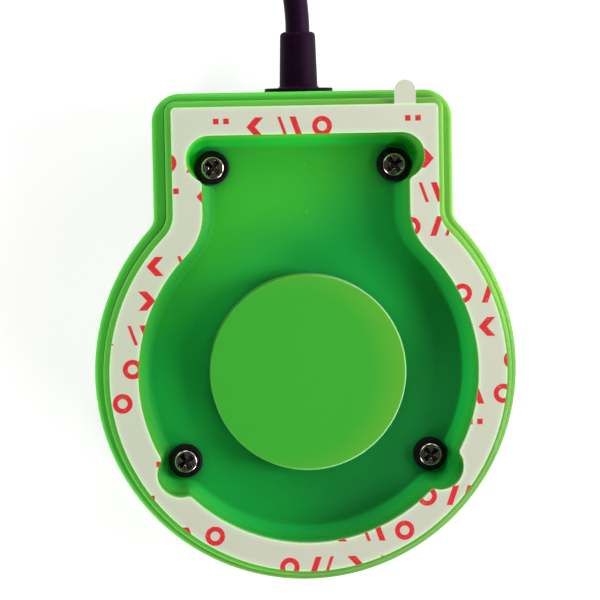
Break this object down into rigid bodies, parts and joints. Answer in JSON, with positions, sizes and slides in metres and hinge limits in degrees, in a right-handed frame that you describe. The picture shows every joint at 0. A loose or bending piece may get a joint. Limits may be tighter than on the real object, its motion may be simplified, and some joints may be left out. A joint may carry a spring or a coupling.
{
  "type": "tank level sensor",
  "caption": "Stick-on radar level sensor for a tank: keyhole-shaped plastic housing, adhesive ring with liner, recessed round lens, side cable with connector.",
  "frame": {"origin": "on the round body's axis, on the cover's crown face that it rests on", "axes": "+Z out of the adhesive face, +Y towards the neck where the cable leaves, +X to the right of that"},
  "size_m": [0.1382, 0.2148, 0.0313],
  "materials": {
    "green_shell": "satin moulded plastic, green",
    "green_lens": "satin moulded plastic, green, fine moulding marks",
    "foam_tape": "closed-cell foam with adhesive faces",
    "liner_film": "coated paper film, pale green",
    "seal_rubber": "moulded silicone rubber",
    "black_plastic": "glass-filled plastic",
    "screw_steel": "stainless steel, pressed cross recess",
    "board_laminate": "glass-fibre laminate under solder mask",
    "chip_plastic": "moulded epoxy",
    "module_can": "pressed metal can",
    "ferrite": "sintered ferrite",
    "header_plastic": "moulded nylon",
    "cable_jacket": "smooth round jacket, near black",
    "boot_rubber": "moulded soft plastic, near black",
    "wire_insulation": "coloured insulation",
    "tie_strap": "woven hook strap",
    "nut_metal": "nickel-plated brass, knurled",
    "contact_metal": "gold-plated brass"
  },
  "bodies": {
    "housing": {"top_cover": "green_shell", "base_housing": "green_shell", "adhesive_tape": "foam_tape", "housing_gasket": "seal_rubber", "radar_lens": "green_lens", "lens_seal": "seal_rubber", "lens_clamp_ring": "black_plastic", "cover_screws": "screw_steel", "screw_seals": "seal_rubber", "lens_clamp_screws": "screw_steel", "board_screws": "screw_steel", "cable_clamp_screws": "screw_steel", "circuit_board": "board_laminate", "radar_chip": "chip_plastic", "processor": "chip_plastic", "radio_module": "module_can", "voltage_regulator": "chip_plastic", "memory_chip": "chip_plastic", "power_inductor": "ferrite", "power_capacitors": "module_can", "small_parts": "chip_plastic", "wire_header": "header_plastic", "wire_plug": "header_plastic", "cable_lead": "cable_jacket", "cable_clamp": "black_plastic", "cable_boot": "boot_rubber", "core_wires": "wire_insulation", "cable_run": "cable_jacket", "cable_coil": "cable_jacket", "cable_tail": "cable_jacket", "coil_ties": "tie_strap", "connector_body": "boot_rubber", "contact_carrier": "black_plastic", "contact_pins": "contact_metal"},
    "liner": {"release_liner": "liner_film"},
    "connector_ring": {"connector_nut": "nut_metal"}
  },
  "joints": [
    {"name": "liner_lift", "type": "slide", "parent": "housing", "child": "liner", "axis": [0, 0, 1], "range_m": [0, 0.03]},
    {"name": "ring_turn", "type": "hinge", "parent": "housing", "child": "connector_ring", "pos_m": [-0.08916, 0.06012, 0.0051], "axis": [-0.0933, -0.9956, 0], "continuous": true}
  ]
}
